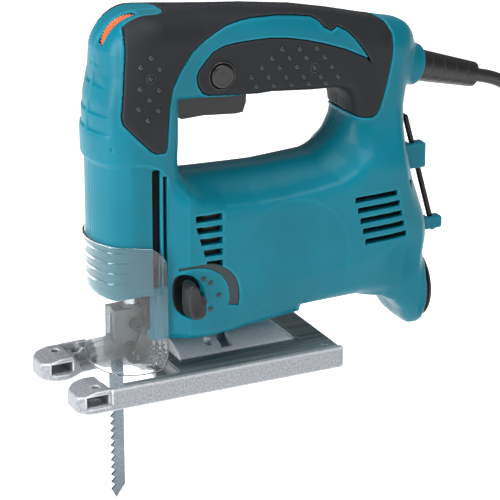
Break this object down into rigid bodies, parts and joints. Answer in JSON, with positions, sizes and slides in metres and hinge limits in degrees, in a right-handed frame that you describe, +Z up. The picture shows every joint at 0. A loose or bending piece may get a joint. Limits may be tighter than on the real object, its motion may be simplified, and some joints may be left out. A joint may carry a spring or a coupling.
{
  "type": "corded jigsaw",
  "caption": "Closed-handle orbital jigsaw with reciprocating blade, steel-blade footplate with a bevel saddle, clear dust cover, trigger, speed dial, stored hex key and a coiled mains lead.",
  "frame": {"origin": "on the underside of the sole, in the middle of its width, just behind the back of the blade", "axes": "+X towards the cord end, +Z up towards the handle, +Y towards the tool's right-hand side; the seam of the housing halves is the XZ plane"},
  "size_m": [0.3667, 0.1296, 0.2665],
  "materials": {
    "teal_plastic": "glass-filled nylon housing, fine satin grain",
    "grip_rubber": "soft overmoulded rubber, matt",
    "black_plastic": "black moulded plastic",
    "dial_plastic": "orange moulded plastic",
    "clear_plastic": "clear polycarbonate",
    "cast_alloy": "die-cast alloy, tumbled, grey",
    "steel": "bright steel",
    "dark_steel": "blackened steel",
    "blade_steel": "hardened and ground steel, blued",
    "bronze": "sintered bronze",
    "copper": "enamelled copper",
    "carbon": "pressed carbon",
    "board": "circuit board with parts",
    "cord_rubber": "black flexible rubber"
  },
  "bodies": {
    "housing": {"housing_left": "teal_plastic", "housing_right": "teal_plastic", "grip_left": "grip_rubber", "grip_right": "grip_rubber", "housing_screws": "dark_steel", "gear_case": "cast_alloy", "guide_blocks": "cast_alloy", "plunger_bushes": "bronze", "front_bearing": "steel", "rear_bearing": "steel", "stator_core": "steel", "stator_coils": "copper", "brush_holders": "bronze", "carbon_brushes": "carbon", "gear_pin": "steel", "switch_body": "black_plastic", "speed_board": "board", "cord_clamp": "black_plastic", "cord_clamp_screws": "steel", "inner_lead": "cord_rubber", "dust_outlet": "black_plastic", "saddle_bolt": "dark_steel", "clamp_shoe": "cast_alloy", "fork_pin": "steel", "trigger_spring": "steel", "lock_spring": "steel", "cord_guard": "cord_rubber", "cord": "cord_rubber", "cord_coil": "cord_rubber", "cord_end": "cord_rubber", "coil_tie": "black_plastic", "plug_body": "cord_rubber", "plug_pins": "steel"},
    "armature": {"armature_shaft": "steel", "armature_core": "steel", "armature_windings": "copper", "commutator": "copper", "fan": "black_plastic"},
    "gear": {"drive_gear": "steel", "crank_pin": "steel"},
    "ram": {"plunger": "steel", "yoke": "cast_alloy", "blade_holder": "cast_alloy", "blade_clamp_screw": "dark_steel", "blade": "blade_steel"},
    "fork": {"roller_fork": "steel", "roller_pin": "steel"},
    "roller": {"guide_roller": "steel"},
    "trigger": {"trigger": "black_plastic"},
    "lock": {"lock_button": "black_plastic"},
    "dial": {"speed_dial": "dial_plastic"},
    "lever": {"orbital_lever": "black_plastic"},
    "cover": {"dust_cover": "clear_plastic"},
    "sole": {"sole": "cast_alloy"},
    "key": {"hex_key": "dark_steel"}
  },
  "joints": [
    {"name": "armature_spin", "type": "hinge", "parent": "housing", "child": "armature", "pos_m": [0.08, 0, 0.068], "axis": [1, 0, 0], "continuous": true},
    {"name": "gear_spin", "type": "hinge", "parent": "housing", "child": "gear", "pos_m": [0.025, 0, 0.09], "axis": [1, 0, 0], "continuous": true},
    {"name": "plunger_slide", "type": "slide", "parent": "housing", "child": "ram", "axis": [0, 0, 1], "range_m": [0, 0.018]},
    {"name": "fork_swing", "type": "hinge", "parent": "housing", "child": "fork", "pos_m": [0.013, 0, 0.04], "axis": [0, 1, 0], "range_deg": [-5, 0], "stiffness_Nm_per_rad": 0.05, "springref_deg": 5.73},
    {"name": "roller_spin", "type": "hinge", "parent": "fork", "child": "roller", "pos_m": [0.0046, 0, 0.015], "axis": [0, 1, 0], "continuous": true},
    {"name": "trigger_press", "type": "slide", "parent": "housing", "child": "trigger", "axis": [0, 0, 1], "range_m": [0, 0.0045], "stiffness_N_per_m": 800, "springref_m": -0.002, "deforming": ["trigger_spring"]},
    {"name": "lock_press", "type": "slide", "parent": "housing", "child": "lock", "axis": [0, 1, 0], "range_m": [0, 0.003], "stiffness_N_per_m": 400, "springref_m": -0.002},
    {"name": "dial_turn", "type": "hinge", "parent": "housing", "child": "dial", "pos_m": [0.0033, -0.004, 0.1837], "axis": [0, 1, 0], "range_deg": [0, 270]},
    {"name": "lever_turn", "type": "hinge", "parent": "housing", "child": "lever", "pos_m": [0.027, -0.036, 0.051], "axis": [0, -1, 0], "range_deg": [0, 90]},
    {"name": "cover_lift", "type": "slide", "parent": "housing", "child": "cover", "axis": [0, 0, 1], "range_m": [0, 0.04]},
    {"name": "sole_shift", "type": "slide", "parent": "housing", "child": "sole", "axis": [1, 0, 0], "range_m": [0, 0.018]},
    {"name": "key_pull", "type": "slide", "parent": "housing", "child": "key", "axis": [0, 1, 0], "range_m": [0, 0.04]}
  ],
  "couplings": [
    {"joint": "gear_spin", "follows": "armature_spin", "ratio": -0.22222}
  ]
}
